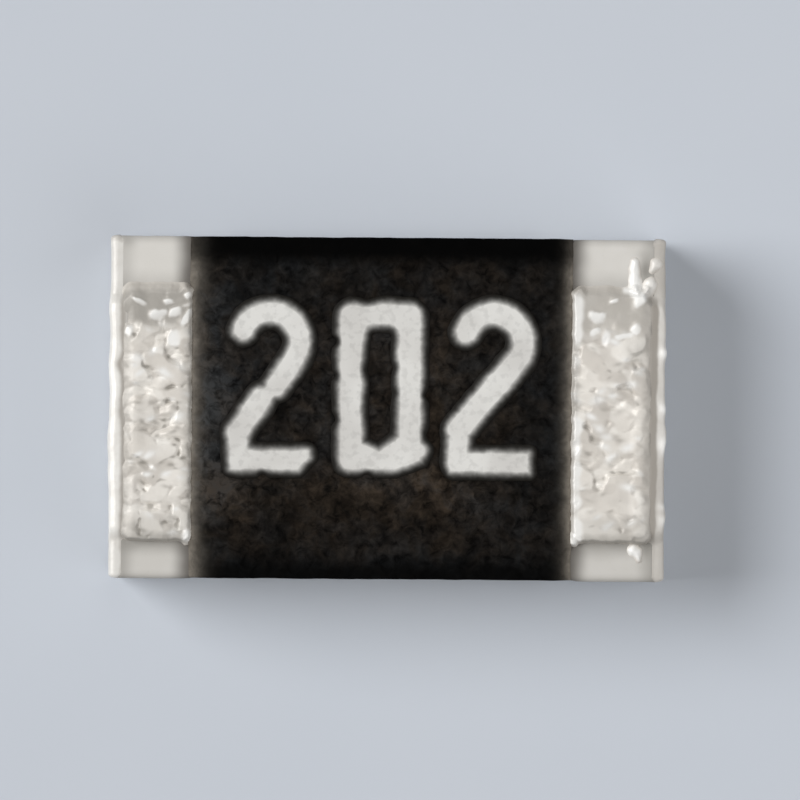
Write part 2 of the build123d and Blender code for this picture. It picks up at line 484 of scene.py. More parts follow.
def pad_finish(looks):
    """Matt tin on silver: crumpled flakes, with painted shade in the creases and along the outline, glints
    painted as highlights, and white crust.
    """
    finish = Finish("flaky tin", 0.46, 0.4, 0.1)
    grain = finish.noise(11 * UM, 3.0, 0.6)
    body = finish.blend(finish.attribute("tone"), looks.tin_dim, looks.tin_flake)
    warm = finish.ramp(finish.noise(150 * UM, 2.0), 0.35, 0.65, 0.0, 0.5)
    body = finish.blend(warm, body, looks.tin_warm)
    for name in ("crease_shade", "crust", "edge"):
        body = finish.blend(finish.attribute(name), body, getattr(looks, "tin_" + name))
    finish.drive("Base Color", body)
    finish.drive("Roughness", finish.ramp(grain, 0.3, 0.7, 0.52, 0.42))
    finish.relief(grain, 0.4 * UM)
    finish.relief(finish.noise(26 * UM, 3.0, 0.5, 0.6), 0.8 * UM)
    return finish.material


def wrap_finish(looks):
    """Smooth matt tin round the ends, whiter on bumps; darker in the groove beside the pad, partly duller
    tin and partly painted shade, with painted shade in the corners, at the tip and along the right strip.
    """
    finish = Finish("wrapped tin", 0.45, 0.5, 0.1)
    cloud = finish.ramp(finish.noise(70 * UM, 4.0, 0.6), 0.35, 0.65)
    body = finish.blend(cloud, looks.tin_strip, looks.tin_strip_dim)
    body = finish.blend(finish.attribute("ledge_and_shade"), body, looks.tin_ledge)
    finish.drive("Base Color", finish.blend(finish.attribute("bump"), body, looks.tin_crust))
    grain = finish.noise(8 * UM, 3.0, 0.6)
    finish.drive("Roughness", finish.ramp(grain, 0.3, 0.7, 0.38, 0.52))
    finish.relief(grain, 0.4 * UM)
    finish.relief(finish.noise(40 * UM, 3.0, 0.5), 1.0 * UM)
    return finish.material


def ink_finish(looks):
    """Off-white marking ink that thins through brown-grey to the resin along each stroke."""
    finish = Finish("marking ink", 0.6, 0.1)
    cloud = finish.ramp(finish.noise(260 * UM, 3.0), 0.35, 0.65)
    body = finish.blend(cloud, looks.ink_colour, looks.ink_cloud)
    ragged = finish.ramp(finish.noise(26 * UM, 2.0, 0.5), 0.3, 0.7, -0.04, 0.04)
    cover = finish.maths("MAXIMUM", finish.maths("ADD", finish.attribute("cover"), ragged), 0.0)
    finish.drive("Base Color", finish.blend(finish.maths("POWER", cover, 3.0), looks.ink_edge, body))
    finish.relief(finish.noise(18 * UM, 3.0), 0.15 * UM)
    return finish.material


def film_finish(name, light, dark, roughness, metallic, grain_size, grain_depth):
    """A fired or plated inner film: two tones of one colour and a grain."""
    finish = Finish(name, roughness, metallic=metallic)
    grain = finish.noise(grain_size * UM, 4.0, 0.6)
    finish.drive("Base Color", finish.blend(finish.ramp(grain, 0.3, 0.7), paint(*light), paint(*dark)))
    finish.relief(grain, grain_depth * UM)
    return finish.material


# ---------------------------------------------------------------- settings


def length(name, description, default):
    return FloatProperty(
        name=name, description=description, default=default, min=0.0, precision=6,
        subtype="DISTANCE", unit="LENGTH",
    )


def tint(name, description, *screen_values):
    return FloatVectorProperty(
        name=name, description=description, default=paint(*screen_values), size=3, min=0.0, max=1.0,
        subtype="COLOR",
    )


def number(name, description, default, **kind):
    return FloatProperty(name=name, description=description, default=default, **kind)


class TileLooks(bpy.types.PropertyGroup):
    """Sizes and colours of the ceramic tile."""

    side_inset: length("Side Inset", "How far the ceramic stands back from the tin's side edges", 0.6 * UM)
    fracture_depth: length("Fracture Depth", "Relief of the snapped faces", 3.5 * UM)
    # painted shade: how far the ceramic darkens beside the resin front
    resin_shade_width: length("Stain Width", "How far the resin's oil has crept into the ceramic", 80 * UM)
    # painted shade: width of the grey fringe above and below a pad
    shade_width: length("Shade Width", "Width of the grey fringe above and below a pad", 95 * UM)
    alumina_colour: tint("Alumina", "Fired ceramic", 223, 220, 214)
    alumina_cloud: tint("Cloud", "Paler clouds in the ceramic", 229, 226, 221)
    # painted shade: the grey that the ceramic takes beside the metal and along its edges
    alumina_shade: tint("Shade", "Ceramic beside the metal", 146, 143, 137)
    # painted shade: the ceramic's colour right at the resin front
    alumina_resin_shade: tint("Stain", "Ceramic beside the resin", 108, 104, 99)


class OvercoatLooks(bpy.types.PropertyGroup):
    """Sizes and colours of the black overcoat."""

    cell: length("Cell", "Spacing of the skin's grid", 6 * UM)
    headroom: length("Headroom", "How far the resin lies under the top of the printed ink", 6.5 * UM)
    relief: length("Relief", "Height of the print's soft waves", 0.7 * UM)
    front_wave: length("Front Wave", "How far the fronts wander", 3 * UM)
    front_spread: length("Front Spread", "How far the fronts have run out over the terminals", 4.5 * UM)
    edge_inset: length("Edge Inset", "How far the long edges stand back", 5 * UM)
    slope: length("Slope", "Length of the rise from each front to the flat", 75 * UM)
    toe_left: length("Left Toe", "How fast the left toe darkens inwards", 34 * UM)
    toe_right: length("Right Toe", "How fast the right toe darkens inwards", 22 * UM)
    resin_black: tint("Black", "Plain resin", 2, 2, 2)
    # pale resin colours, warm and cool, which the pale share blends in
    resin_warm: tint("Warm", "Dusty resin, warm", 66, 57, 48)
    resin_cool: tint("Cool", "Dusty resin, cool", 57, 58, 59)
    # thinnest resin, made paler as painted light for the shaded right toe; the left toe takes less of it
    resin_toe: tint("Toe", "Thinnest resin", 146, 139, 129)


class TerminalLooks(bpy.types.PropertyGroup):
    """Sizes and colours of the plated terminals."""

    cell: length("Cell", "Spacing of the pad's grid", 3 * UM)
    flake_length: length("Flake Length", "Half the length of a flake", 42 * UM)
    flake_width: length("Flake Width", "Half the width of a flake", 20 * UM)
    flake_tilt: number("Flake Tilt", "Steepest slope of a flake", 0.40, min=0.0, subtype="FACTOR")
    flake_bend: length("Flake Bend", "How far the flakes' outlines are bent", 8 * UM)
    fold_height: length("Fold Height", "Height of the folds between the flakes", 13 * UM)
    outline_wander: length("Outline Wander", "How far the pad's outline wanders", 5 * UM)
    strip_wander: length("Strip Wander", "How far the end strip bulges and shrinks", 2.5 * UM)
    tin_dim: tint("Dim Flake", "Dull flakes", 213, 207, 199)
    tin_flake: tint("Flake", "Bright flakes", 254, 250, 243)
    tin_warm: tint("Warm Tin", "Patches where the tin is warmer", 238, 232, 223)
    # painted shade in the creases and pits
    tin_crease_shade: tint("Crease", "Creases and pits", 154, 149, 141)
    # also the glints, painted highlights; the crust itself is the tin's own white
    tin_crust: tint("Crust", "White crust and glints", 254, 253, 250)
    # painted shade along the pad's outline, its front, its lower end and towards the groove; also the darker
    # sparse end
    tin_edge: tint("Edge", "Thin plating along the pad's outline", 164, 160, 153)
    tin_strip: tint("Strip", "Plating round the end", 251, 249, 244)
    tin_strip_dim: tint("Dim Strip", "Duller clouds in it", 240, 237, 231)
    # the groove's colour; it also paints shade in the corners, at the tip and along the right strip
    tin_ledge: tint("Ledge", "Groove between pad and strip", 166, 160, 152)


class InkLooks(bpy.types.PropertyGroup):
    """Sizes and colours of the printed digits."""

    cell: length("Cell", "Spacing of the ink's grid", 3 * UM)
    stroke: length("Stroke", "Width of a stroke before the ink runs", 97 * UM)
    run: length("Run", "How far thin ink has run past each stroke", 16 * UM)
    thickness: length("Thickness", "Ink in the middle of a stroke", 5 * UM)
    fade: length("Fade", "How far in from the outline the ink is thin", 35 * UM)
    ragged: length("Raggedness", "How far the outline wanders", 4 * UM)
    ink_colour: tint("Ink", "Dry ink", 232, 231, 227)
    ink_cloud: tint("Ink Cloud", "Greyer clouds in the ink", 216, 214, 210)
    ink_edge: tint("Ink Edge", "Thinnest ink over black", 29, 27, 24)


class StageLooks(bpy.types.PropertyGroup):
    """Floor, light and camera."""

    floor_colour: tint("Floor", "Pale floor", 205, 211, 220)
    floor_cloud: tint("Floor Cloud", "Paler clouds on the floor", 210, 215, 223)
    floor_span: length("Floor Span", "Width of the floor", 240 * MM)
    sky: number("Sky", "Even light from all round", 0.25, min=0.0)
    key: number("Key", "Soft light from the upper left", 2.15, min=0.0)
    fill: number("Fill", "Weaker light from the right", 0.8, min=0.0)
    view_width: length("View Width", "Width of the picture at the top of the chip", 2.857 * MM)
    view_shift: FloatVectorProperty(
        name="View Shift", description="Where the camera looks, from the middle of the chip",
        default=(0.0464 * MM, 0.0304 * MM), size=2, subtype="TRANSLATION", unit="LENGTH",
    )
    view_turn: number(
        "View Turn", "How far the camera is turned about its own axis", math.radians(0.45),
        subtype="ANGLE", unit="ROTATION",
    )
    lens: number("Lens", "Focal length", 400.0, min=1.0, unit="CAMERA")


class ChipLooks(bpy.types.PropertyGroup):
    """All settings of the chip resistor's looks."""

    seed: IntProperty(name="Seed", description="Number that all random patterns start from", default=7)
    tile: PointerProperty(type=TileLooks)
    overcoat: PointerProperty(type=OvercoatLooks)
    terminal: PointerProperty(type=TerminalLooks)
    ink: PointerProperty(type=InkLooks)
    stage: PointerProperty(type=StageLooks)


# What differs between the two terminals. Bumps, notches (bites that the groove takes out of the
# strip) and white knobs lie along the strip: y, reach, and height, depth or whiteness. Crust is
# strokes through (x, y, radius) and how white each is. Flakes are single ones at the sparse upper
# end: x, y, half length, half width, and turn in degrees.
LEFT = SimpleNamespace(
    name="left", side=-1, seed_step=0,  # added to the seed for the pad's relief
    corner_shade=(0.62, 0.36),  # how much painted shade the ceramic, and the wrap's corners, have beside the strip, below and above the pad
    strip_inset=2.0 * UM,
    crest_out=0.0, crest_up=0.0, crest_down=3.8 * UM,  # crest_out: share of CREST_SHIFT
    bumps=[
        (0.50, 0.080, -0.0020), (0.35, 0.045, 0.0040), (0.25, 0.022, -0.0015), (0.14, 0.045, 0.0060),
        (0.05, 0.045, -0.0020), (-0.13, 0.055, 0.0080), (-0.24, 0.050, 0.0045),
    ],
    notches=[(0.152, 0.030, 0.0120), (-0.020, 0.050, 0.0040), (0.330, 0.050, 0.0030)],
    knobs=[],
    groove_shift=-6 * UM, groove_least=0.40, groove_dull_and_shade=0.92,  # groove darkening from least to 1, times the last: duller tin and painted shade
    tip_shade=0.5, strip_shade=(0.0, 0.0, 0.0),  # painted shade at the upper tip; on the strip all along, and more above and below
    # the pad's inner edge: |x|, how far it wanders, that wander's lower limit, how much painted shade at the
    # front, how soft
    front=0.6935 * MM, front_wander=8 * UM, front_least=-math.inf, front_edge=0.50, front_soft=9 * UM,
    grid_start=0.67 * MM,  # where the pad's grid starts in |x|
    # spread of the flakes' tones about their middle number, how much pits show, rounds of averaging
    contrast=1.15, own_middle=0.5, pit_share=1.0, passes=2,
    # how much darker the sparse end is, how much lighter its top, and how white the beads on the front are
    sparse_shade=0.84, top_lighter=0.75, bead_crust=0.0,
    crust=[
        ([(-0.713, -0.448, 0.020), (-0.712, -0.468, 0.024)], 1.0),
        ([(-0.689, 0.380, 0.005), (-0.712, 0.366, 0.008), (-0.742, 0.357, 0.006)], 0.9),
        ([(-0.716, 0.390, 0.011), (-0.702, 0.402, 0.010)], 0.6),
        ([(-0.724, 0.219, 0.006), (-0.696, 0.226, 0.004)], 0.8),
        ([(-0.720, 0.108, 0.007), (-0.698, 0.112, 0.005)], 0.7),
        ([(-0.716, 0.006, 0.007), (-0.697, -0.002, 0.005)], 0.7),
    ],
    flakes=[
        (-0.780, 0.376, 0.021, 0.013, 5), (-0.822, 0.331, 0.032, 0.019, -5),
        (-0.757, 0.338, 0.024, 0.017, 10), (-0.711, 0.402, 0.015, 0.012, 25),
        (-0.758, 0.249, 0.034, 0.020, 85), (-0.925, 0.272, 0.022, 0.014, 70),
        (-0.890, 0.380, 0.030, 0.009, -30), (-0.715, 0.322, 0.044, 0.012, 60),
    ],
)
RIGHT = SimpleNamespace(
    name="right", side=1, seed_step=400,
    corner_shade=(0.60, 0.55),
    strip_inset=2.2 * UM,
    crest_out=1.0, crest_up=2.5 * UM, crest_down=0.0,
    bumps=[
        (0.205, 0.022, 0.0095), (0.000, 0.035, 0.0035), (-0.095, 0.038, 0.0085),
        (-0.380, 0.034, 0.0085), (0.300, 0.050, 0.0015), (0.520, 0.080, -0.0015),
    ],
    notches=[(-0.210, 0.050, 0.0060), (0.300, 0.060, 0.0050)],
    knobs=[
        (0.203, 0.020, 1.2), (0.005, 0.020, 1.0), (-0.125, 0.030, 1.2), (-0.345, 0.014, 0.6),
        (-0.395, 0.022, 0.7),
    ],
    groove_shift=8 * UM, groove_least=0.82, groove_dull_and_shade=1.08,
    tip_shade=0.0, strip_shade=(0.38, 0.34, 0.24),
    front=0.6590 * MM, front_wander=7 * UM, front_least=-1.5 * UM, front_edge=0.0, front_soft=0.0,
    grid_start=0.635 * MM,
    contrast=1.70, own_middle=0.58, pit_share=0.65, passes=5,
    sparse_shade=0.58, top_lighter=0.30, bead_crust=0.90,
    crust=[
        ([(0.883, 0.530, 0.018), (0.880, 0.502, 0.022), (0.882, 0.463, 0.026), (0.886, 0.427, 0.033)], 1.0),
        ([(0.886, 0.427, 0.032), (0.850, 0.428, 0.016)], 0.9),
        ([(0.886, 0.427, 0.030), (0.902, 0.401, 0.030), (0.889, 0.372, 0.014)], 1.0),
        ([(0.902, 0.404, 0.028), (0.923, 0.424, 0.027), (0.940, 0.452, 0.027)], 0.62),
        ([(0.943, 0.500, 0.013), (0.957, 0.521, 0.026)], 0.45),
        ([(0.883, -0.503, 0.026), (0.895, -0.509, 0.022), (0.904, -0.534, 0.011)], 1.0),
        ([(0.668, -0.446, 0.014), (0.671, -0.472, 0.020)], 1.0),
    ],
    flakes=[
        (0.808, 0.386, 0.020, 0.007, 15), (0.752, 0.330, 0.032, 0.022, -10),
        (0.745, 0.280, 0.022, 0.011, 20), (0.885, 0.290, 0.028, 0.014, 60),
        (0.785, 0.262, 0.030, 0.015, 80), (0.845, 0.262, 0.038, 0.012, 5),
    ],
)
ENDS = (LEFT, RIGHT)


# ---------------------------------------------------------------- ceramic tile

# painted shadows on the ceramic beside the crust: x, y, reach in x, reach in y, how dark
SHADOWS = [
    (0.921, 0.500, 0.025, 0.044, 0.90), (0.932, -0.492, 0.014, 0.030, 0.65),
    (0.905, 0.560, 0.030, 0.020, 0.15), (-0.930, 0.590, 0.030, 0.020, 0.35),
]
END_SCORE, SIDE_SCORE = 23 * UM, 9 * UM  # how far in from the ends and sides the score's slope runs


def tile_recess(x, y, seed):
    """How far each long side stands back: under the resin most, at the lower corners least."""
    left, right = span(x, -0.66 * MM, -0.73 * MM), span(x, 0.63 * MM, 0.70 * MM)
    above = 6.5 - 4.0 * left - 1.5 * right
    recess = np.where(y > 0, above, 6.5 * (1 - left) * (1 - right))
    return UM * (recess + 1 + cloud_noise(x, np.sign(y) * MM, 36 * UM, seed + 5, 3))


def tile_skin(looks, seed):
    """Closed skin of the tile: a rectangle's outline carried from its middle out, up and back in.

    One parameter runs round the outline; the other runs out along the underside, up the side,
    over the score and in across the top. Each point of the outline is pulled in by the inset of
    its ring. The long sides have noise along their outward direction, strongest below the score.
    """
    low, high = (np.array(corner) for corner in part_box("ceramic_tile"))
    half_x, half_y = high[0], high[1] - looks.side_inset
    spacing = 9 * UM
    steps_x, steps_y = round(2 * half_x / spacing), round(2 * half_y / spacing)
    line_x = np.linspace(-1, 1, steps_x, endpoint=False)
    line_y = np.linspace(-1, 1, steps_y, endpoint=False)
    unit_x = np.concatenate([line_x, np.ones(steps_y), -line_x, -np.ones(steps_y)])
    unit_y = np.concatenate([-np.ones(steps_x), line_y, np.ones(steps_x), -line_y])

    # rings: out along the underside, up the side, in across the top
    under = half_y * (1 - np.linspace(0, 1, 14) ** 0.5)
    over = half_y * np.concatenate([np.linspace(0, 0.36, 40), np.linspace(0.40, 1.0, 8)])
    rise = np.linspace(0, 1, 44)[1:]
    level = np.concatenate([0 * under, rise, np.ones(len(over) - 1)])[:, None]
    inset = np.concatenate([under, 0 * rise, over[1:]])[:, None]

    x, y = unit_x * (half_x - inset), unit_y * (half_y - inset)
    recess = tile_recess(x, y, seed)
    from_end, from_side = half_x - np.abs(x), half_y - np.abs(y)
    drop = np.maximum(np.clip(END_SCORE - from_end, 0, None), np.clip(SIDE_SCORE - from_side, 0, None))
    z = low[2] + level * (high[2] - low[2]) + 0 * x
    on_top = z > high[2] - 0.5 * UM
    on_side = ~on_top & (inset == 0)
    z = np.where(on_side, low[2] + level * (high[2] - drop - low[2]), z - drop * on_top)

    travel = np.arange(len(unit_x)) * spacing
    rough = cloud_noise(travel, z * 1.6, 46 * UM, seed + 11, 4)
    ripple = cloud_noise(travel, z * 0.25, 30 * UM, seed + 21, 2)
    broken = span(z, high[2] - 30 * UM, high[2] - 95 * UM) * on_side
    push = looks.fracture_depth * broken * (rough - 0.35) + 0.5 * UM * ripple * on_side
    on_long_side = (np.abs(unit_y) == 1) & on_side
    y = y + np.where(on_long_side, np.sign(unit_y) * np.minimum(push, 0.3 * UM), 0.0)
    y = y * (1 - recess / half_y)
    grey, resin_shade = tile_shade(x, y, np.minimum(from_end, from_side), looks, seed)
    points = np.stack([x, y, z], axis=-1).reshape(-1, 3)
    faces = grid_faces(*x.shape, closed=True).tolist()
    return points, faces, {"grey": grey * on_top, "resin_shade": resin_shade * on_top, "broken": broken}


def tile_shade(x, y, from_border, looks, seed):
    """How much painted shade the bare ceramic has, as grey and beside the resin, each from 0 to 1.

    Grey is painted shade: 1 less the product of what each fringe leaves clear, above and below the
    pad, along the tin at the end, and along the tile's own edge, with painted shadows in the listed
    patches and a darker lower and right half. The painted shade beside the resin falls from 1 at
    the resin's front along an s-curve.
    """
    clear = 1 - 0.42 * (1 - span(from_border, 0.0, 34 * UM))
    resin_shade = np.zeros(x.shape)
    ripple = 7 * UM * cloud_noise(x, y, 60 * UM, seed + 3, 2)
    for end in ENDS:
        conductor_low, conductor_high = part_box(f"{end.name}_top_conductor")
        front = end.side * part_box("overcoat")[max(end.side, 0)].x
        outward = end.side * x
        above = np.clip((y - conductor_high.y - PLATING + ripple) / looks.shade_width, 0, 1)
        above = 0.70 * (1 - above) ** 1.4 * (y > 0)
        below = span(conductor_low.y - PLATING - y + ripple, -4 * UM, 0.7 * looks.shade_width)
        below = 0.74 * (1 - below) * (y < 0)
        beside = 1 - span(0.945 * MM - outward, -8 * UM, 62 * UM)
        beside = beside * np.where(y > 0, end.corner_shade[1], end.corner_shade[0])
        clear = np.where(outward > 0, clear * (1 - above) * (1 - below) * (1 - beside), clear)
        # painted shade, falling from the resin's front
        resin_shade = np.where(outward > 0, 1 - span(outward - front + ripple, 0.0, looks.resin_shade_width), resin_shade)
    clear = clear * (1 - np.clip(bells(x, y, SHADOWS), 0.0, 1.0))
    # painted shade: the lower half darker, and the right half a little
    return 1 - clear * (1 - 0.20 * (y < 0) - 0.04 * (x > 0)), resin_shade


class CHIP_OT_ceramic_tile(bpy.types.Operator):
    """Make the ceramic tile's skin"""

    bl_idname = "chip.ceramic_tile"
    bl_label = "Ceramic Tile"
    bl_options = {"REGISTER", "UNDO"}

    def execute(self, context):
        looks = context.scene.chip_looks
        skin = tile_skin(looks.tile, looks.seed)
        weld(add_piece("tile_skin", skin, alumina_finish(looks.tile), "ceramic_tile"))
        return {"FINISHED"}


# ---------------------------------------------------------------- overcoat

# pale patches on the resin: x, y, reach in x, reach in y, how pale
PALE_PATCHES = [
    (0.00, 0.10, 0.50, 0.26, 0.16), (-0.63, 0.05, 0.09, 0.30, 0.46), (-0.61, -0.28, 0.11, 0.11, 0.55),
    (-0.20, -0.25, 0.22, 0.06, 0.16), (0.10, -0.25, 0.16, 0.075, 0.40), (0.28, -0.32, 0.10, 0.07, 0.16),
    (-0.05, -0.40, 0.45, 0.08, 0.08), (0.55, 0.05, 0.08, 0.40, -0.06),
]
# warm (positive) and cool (negative) patches, laid out in the same way
WARMTH = [
    (0.12, -0.15, 0.26, 0.30, 0.38), (-0.25, -0.38, 0.45, 0.12, 0.34), (-0.60, 0.02, 0.10, 0.28, -0.62),
    (0.58, -0.10, 0.10, 0.50, -0.34), (-0.10, -0.60, 0.80, 0.07, -0.60), (-0.45, 0.46, 0.25, 0.10, -0.25),
]
BROW = 9 * UM  # radius with which the resin falls off along its long edges


def overcoat_fronts(y, looks, seed):
    """X of the left and right fronts at each y: the solid's own, run out and wandering softly."""
    low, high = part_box("overcoat")
    wave, spread = looks.front_wave, looks.front_spread
    left = low.x - spread + wave * cloud_noise(y, 0, 70 * UM, seed + 31, 3)
    right = high.x + spread + wave * cloud_noise(y, 0, 60 * UM, seed + 41, 3)
    return left, right


def overcoat_height(x, y, looks, seed):
    """Height of the resin: a flat with soft waves that bends down at the fronts and long edges.

    From each front the height rises along a quarter sine to the flat. It starts above the
    conductor where it crosses one, and on the ceramic beside it. Along the long edges it falls
    off as a quarter circle.
    """
    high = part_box("overcoat")[1]
    pad_low, pad_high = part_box("left_top_conductor")
    left, right = overcoat_fronts(y, looks, seed)
    inward = np.clip(np.minimum(x - left, right - x) / looks.slope, 0.0, 1.0)
    over_pad = within(y, pad_low.y, pad_high.y, 45 * UM, 15 * UM)
    toe = (pad_low.z + 0.6 * UM) * (1 - over_pad) + (pad_high.z + 8.5 * UM) * over_pad
    crown = high.z - looks.headroom
    climb = np.sin(inward * math.pi / 2) ** (1.15 - 0.25 * over_pad)
    wave = looks.relief * cloud_noise(x, y, 140 * UM, seed + 51, 4)
    past = np.clip(1 - (high.y - looks.edge_inset - np.abs(y)) / BROW, 0.0, 1.0)
    return toe + (crown - toe + wave) * climb - BROW * (1 - np.sqrt(1 - past**2))


def overcoat_skin(looks, ink_depth, seed):
    """Closed skin: the height field between the wandering fronts, a wall round it and a base."""
    low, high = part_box("overcoat")
    half_y = high.y - looks.edge_inset
    columns, rows = round((high.x - low.x) / looks.cell), round(2 * half_y / looks.cell)
    across = np.linspace(-1, 1, rows)
    across = np.sign(across) * (1 - (1 - np.abs(across)) ** 1.06)
    share, y = np.meshgrid(np.linspace(0, 1, columns), half_y * across)
    left, right = overcoat_fronts(y, looks, seed)
    x = left + share * (right - left)
    z = overcoat_height(x, y, looks, seed)
    at_long_edge = span(np.abs(y), half_y - 40 * UM, half_y)
    y = y + at_long_edge * 1.6 * UM * cloud_noise(x, np.sign(y) * MM, 60 * UM, seed + 57, 3)

    numbers = np.arange(x.size).reshape(x.shape)
    rim = np.concatenate([numbers[0, :-1], numbers[:-1, -1], numbers[-1, :0:-1], numbers[:0:-1, 0]])
    foot = x.size + np.arange(len(rim))
    top = np.stack([x, y, z], axis=-1).reshape(-1, 3)
    points = np.concatenate([top, top[rim] * (1, 1, 0) + (0, 0, low.z + 0.3 * UM)])
    wall = np.stack([rim, foot, np.roll(foot, -1), np.roll(rim, -1)], axis=-1)
    faces = grid_faces(rows, columns).tolist() + wall.tolist() + [foot[::-1].tolist()]

    pad_low, pad_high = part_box("left_top_conductor")
    over_pad = within(y, pad_low.y, pad_high.y, 60 * UM, 0)
    wander = 7 * UM * cloud_noise(x, y, 40 * UM, seed + 61, 3)
    from_left = np.clip(x - left + wander, 0.0, None) / (looks.toe_left * (1 - 0.22 * over_pad))
    from_right = np.clip(right - x + wander, 0.0, None) / looks.toe_right
    # thin resin at the toes; the right toe takes the colour in full and the left at 0.70, painted light that
    # makes up for shade on the right toe's slope, which faces away from the key light
    thin_toe_and_painted_light = np.maximum(0.70 * np.exp(-(from_left**1.4)), np.exp(-(from_right**1.35)))
    # painted shade: the resin darker along its long edges, where it rounds off
    painted_shade_top = 0.97 * (1 - span(half_y - y, 50 * UM, 130 * UM))
    painted_shade_bottom = 0.85 * (1 - span(half_y + y, 20 * UM, 110 * UM))
    # painted shadow: less of the pale colour just outside the ink strokes
    painted_shadow_round_ink = 0.5 * (1 - span(-ink_depth(x, y), 8 * UM, 30 * UM))
    # how pale the resin is: a little everywhere, more in the listed patches
    paleness = np.clip(0.195 + bells(x, y, PALE_PATCHES), 0.0, 1.0)
    fields = {
        "thin_toe_and_painted_light": thin_toe_and_painted_light * (1 - 0.75 * painted_shade_top),
        "paleness": paleness * (1 - painted_shade_top) * (1 - painted_shade_bottom) * (1 - painted_shadow_round_ink),
        "warm": np.clip(0.5 + bells(x, y, WARMTH), 0.0, 1.0),
    }
    return points, faces, {key: np.append(field, field.ravel()[rim]) for key, field in fields.items()}


class CHIP_OT_overcoat(bpy.types.Operator):
    """Make the black overcoat's skin"""

    bl_idname = "chip.overcoat"
    bl_label = "Overcoat"
    bl_options = {"REGISTER", "UNDO"}

    def execute(self, context):
        looks = context.scene.chip_looks

        def ink_depth(x, y):
            return np.maximum.reduce([digit_depth(name, x, y, looks.ink.stroke / 2) for name in DIGITS])

        skin = overcoat_skin(looks.overcoat, ink_depth, looks.seed)
        add_piece("overcoat_skin", skin, overcoat_finish(looks.overcoat), "overcoat")
        return {"FINISHED"}


# ---------------------------------------------------------------- printed digits

# The shapes and tables from here to the operator are in millimetres. Outlines have dents, or bumps
# where the last number is negative: x, y, reach and how deep.


def first_two(x, y, half):
    """Depth inside the left 2, the greatest of those in its strokes.

    They are a hooked bowl with a slanted tip, a diagonal in two lengths set side by side with a
    bridge between them, a heel, and a base with a cut corner.
    """
    bowl = half + 0.001 - from_arc(x, y, (-0.418, 0.235), 0.106, -36, 157)
    bowl = np.minimum(bowl, behind(x, y, (-0.541, 0.238), 232))
    upper = half + 0.001 - nearest(x, y, (-0.333, 0.172), (-0.396, 0.076))[1]
    lower = half + 0.002 - nearest(x, y, (-0.449, 0.033), (-0.532, -0.090))[1]
    bridge = half - 0.011 - nearest(x, y, (-0.396, 0.076), (-0.449, 0.033))[1]
    heel = half - 0.002 - nearest(x, y, (-0.532, -0.090), (-0.529, -0.187))[1]
    stroke = soft_union(np.maximum.reduce([bowl, upper, bridge, heel]), lower, 0.006)
    base = in_rounded_box(x, y, (-0.574, -0.236), (-0.262, -0.137), 0.020)
    return soft_union(stroke, np.minimum(base, behind(x, y, (-0.279, -0.202), -45)), 0.012)


def second_two(x, y, half):
    """Depth inside the right 2: a hooked bowl, a straight diagonal, a heel and a square base."""
    bowl = half + 0.003 - from_arc(x, y, (0.379, 0.2355), 0.106, -40, 158)
    diagonal = half + 0.005 - nearest(x, y, (0.458, 0.167), (0.255, -0.075))[1]
    heel = half - 0.001 - nearest(x, y, (0.257, -0.076), (0.251, -0.19))[1]
    base = in_rounded_box(x, y, (0.210, -0.239), (0.522, -0.141), 0.014)
    return soft_union(np.maximum.reduce([bowl, diagonal, heel]), base, 0.010)


def nought(x, y, half):
    """Depth inside the 0: an upright box less a slot with a pointed foot, and a nub low right."""
    swell = half - 0.0485
    ring = in_rounded_box(x, y, (-0.184 - swell, -0.234 - swell), (0.135 + swell, 0.383 + swell), 0.054)
    ring = soft_union(ring, 0.039 - np.hypot(x - 0.113, y + 0.149), 0.008)
    ring = np.minimum(ring, behind(x, y, (0.090, -0.213), -70))
    slot = in_rounded_box(x, y, (-0.077 + swell, -0.141 + swell), (0.028 - swell, 0.284 - swell), 0.026)
    slot = np.minimum(slot, behind(x, y, (-0.060, -0.124), 246))
    slot = np.minimum(slot, behind(x, y, (0.004, -0.112), -52))
    return np.minimum(ring, -slot)


# each digit's shape, the range of x that its grid covers, and its dents
DIGITS = {
    "left_two": (first_two, (-0.61, -0.24), [
        (-0.443, -0.238, 0.018, 0.014), (-0.420, -0.025, 0.030, -0.006), (-0.300, 0.170, 0.030, 0.003),
    ]),
    "middle_nought": (nought, (-0.215, 0.185), [
        (-0.186, 0.237, 0.019, 0.020), (-0.186, 0.116, 0.017, 0.014), (-0.186, -0.040, 0.020, 0.017),
        (0.137, 0.048, 0.018, 0.014), (0.137, -0.093, 0.016, 0.010), (-0.074, 0.386, 0.030, 0.010),
        (-0.005, 0.384, 0.034, -0.007), (0.140, 0.389, 0.030, 0.006), (-0.070, -0.236, 0.020, 0.013),
        (-0.078, 0.265, 0.030, -0.008), (-0.078, 0.140, 0.028, 0.010), (-0.078, 0.080, 0.018, -0.005),
        (-0.078, 0.000, 0.030, 0.007), (0.028, 0.195, 0.026, -0.006), (0.028, 0.146, 0.018, 0.010),
        (0.028, 0.055, 0.018, 0.006),
    ]),
    "right_two": (second_two, (0.18, 0.555), [
        (0.205, -0.245, 0.022, 0.008), (0.335, -0.146, 0.020, 0.004), (0.420, 0.060, 0.040, -0.003),
    ]),
}
DIGIT_LOW, DIGIT_ROOM = -0.27, 0.70  # where each digit's grid starts in y, and how high it is


def digit_depth(name, x, y, half):
    """Depth inside a digit less its dents, with every length in metres."""
    shape, _, dents = DIGITS[name]
    return MM * (shape(x / MM, y / MM, half / MM) - bells(x, y, dents))


